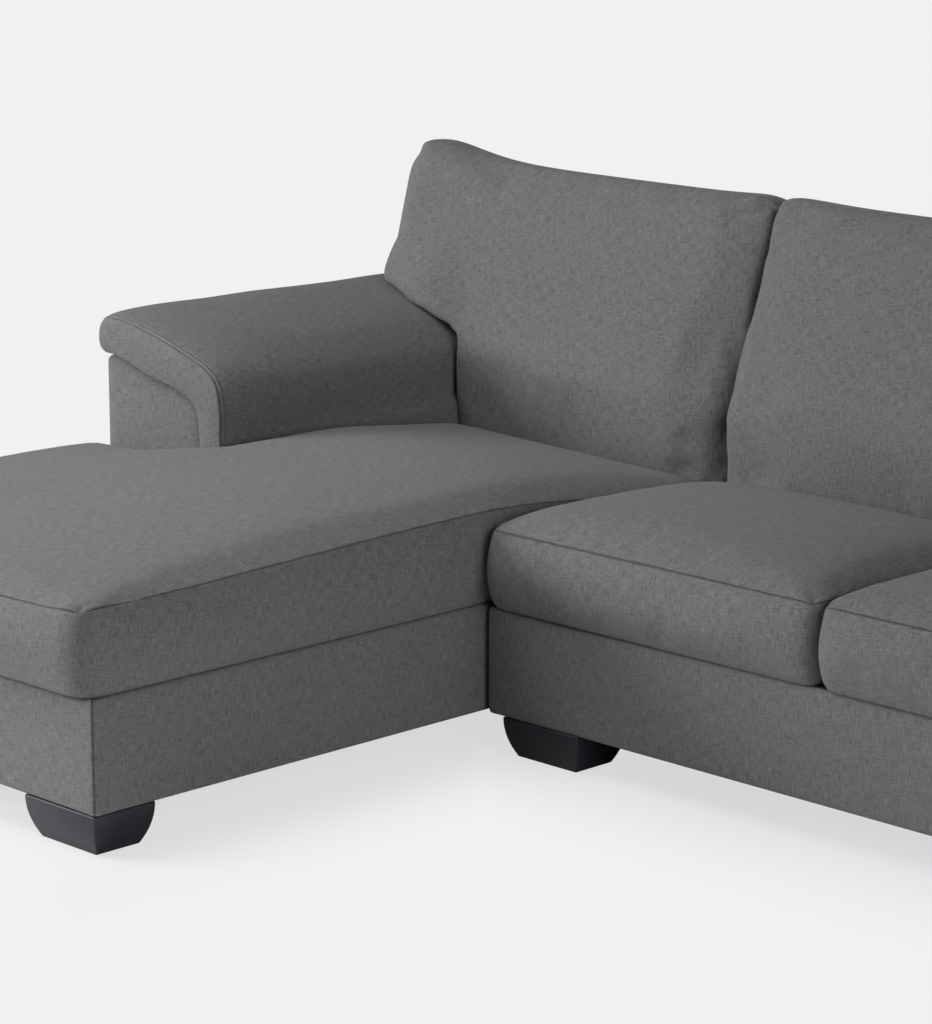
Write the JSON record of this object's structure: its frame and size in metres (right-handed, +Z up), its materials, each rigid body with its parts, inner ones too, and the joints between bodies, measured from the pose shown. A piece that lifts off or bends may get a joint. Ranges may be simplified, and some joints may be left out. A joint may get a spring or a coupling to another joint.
{
  "type": "sectional sofa with chaise",
  "caption": "Sectional sofa with a chaise at its left end, pillow-topped arms, crowned loose seat cushions, fixed back cushions and dark tapered block feet.",
  "frame": {"origin": "on the floor, under the centre of the whole sofa's bounding box", "axes": "+X to the right of someone who faces the sofa, +Y towards the sofa's rear, +Z up; the chaise is at the -X end and reaches towards -Y"},
  "size_m": [2.9148, 1.776, 0.9229],
  "materials": {
    "upholstery_fabric": "plain linen-look weave, matte",
    "foot_black": "satin",
    "frame_timber": "sawn pine",
    "arm_plywood": "plywood",
    "spring_steel": "drawn wire",
    "zinc_steel": "zinc plated",
    "elastic_webbing": "woven elastic",
    "deck_cloth": "plain cloth over felt",
    "dust_cloth": "non-woven",
    "seat_foam": "open-cell foam"
  },
  "bodies": {
    "chaise_section": {"chaise_back_cover": "upholstery_fabric", "chaise_back_posts": "frame_timber", "chaise_back_straps": "elastic_webbing", "chaise_back_top_rail": "frame_timber", "chaise_corner_blocks": "frame_timber", "chaise_deck_pad": "deck_cloth", "chaise_dust_cover": "dust_cloth", "chaise_foot_bolts": "zinc_steel", "chaise_foot_front_left": "foot_black", "chaise_foot_front_right": "foot_black", "chaise_foot_rear_left": "foot_black", "chaise_foot_rear_right": "foot_black", "chaise_front_cover": "upholstery_fabric", "chaise_front_rail": "frame_timber", "chaise_hook_loops": "zinc_steel", "chaise_inner_cover": "upholstery_fabric", "chaise_middle_rail": "frame_timber", "chaise_outer_cover": "upholstery_fabric", "chaise_rear_rail": "frame_timber", "chaise_seat_springs": "spring_steel", "chaise_side_rails": "frame_timber", "chaise_spring_rail": "frame_timber", "left_arm_cap": "upholstery_fabric", "left_arm_frame": "arm_plywood", "left_arm_panel": "upholstery_fabric", "left_back_cushion": "upholstery_fabric"},
    "sofa_section": {"middle_back_cushion": "upholstery_fabric", "right_arm_cap": "upholstery_fabric", "right_arm_frame": "arm_plywood", "right_arm_panel": "upholstery_fabric", "right_back_cushion": "upholstery_fabric", "sofa_back_cover": "upholstery_fabric", "sofa_back_posts": "frame_timber", "sofa_back_straps": "elastic_webbing", "sofa_back_top_rail": "frame_timber", "sofa_corner_blocks": "frame_timber", "sofa_deck_pad": "deck_cloth", "sofa_dust_cover": "dust_cloth", "sofa_foot_bolts": "zinc_steel", "sofa_foot_front_left": "foot_black", "sofa_foot_front_right": "foot_black", "sofa_foot_rear_left": "foot_black", "sofa_foot_rear_right": "foot_black", "sofa_front_cover": "upholstery_fabric", "sofa_front_rail": "frame_timber", "sofa_hook_tongues": "zinc_steel", "sofa_inner_cover": "upholstery_fabric", "sofa_middle_rail": "frame_timber", "sofa_outer_cover": "upholstery_fabric", "sofa_rear_rail": "frame_timber", "sofa_seat_springs": "spring_steel", "sofa_side_rails": "frame_timber", "sofa_spring_rail": "frame_timber"},
    "chaise_seat_cushion": {"chaise_seat_cover": "upholstery_fabric", "chaise_seat_foam": "seat_foam"},
    "left_seat_cushion": {"left_seat_cover": "upholstery_fabric", "left_seat_foam": "seat_foam"},
    "right_seat_cushion": {"right_seat_cover": "upholstery_fabric", "right_seat_foam": "seat_foam"}
  },
  "joints": [
    {"name": "sofa_section_lift", "type": "slide", "parent": "chaise_section", "child": "sofa_section", "axis": [0, 0, 1], "range_m": [0, 0.06]},
    {"name": "chaise_seat_lift", "type": "slide", "parent": "chaise_section", "child": "chaise_seat_cushion", "axis": [0, 0, 1], "range_m": [0, 0.7]},
    {"name": "left_seat_lift", "type": "slide", "parent": "sofa_section", "child": "left_seat_cushion", "axis": [0, 0, 1], "range_m": [0, 0.7]},
    {"name": "right_seat_lift", "type": "slide", "parent": "sofa_section", "child": "right_seat_cushion", "axis": [0, 0, 1], "range_m": [0, 0.7]}
  ]
}
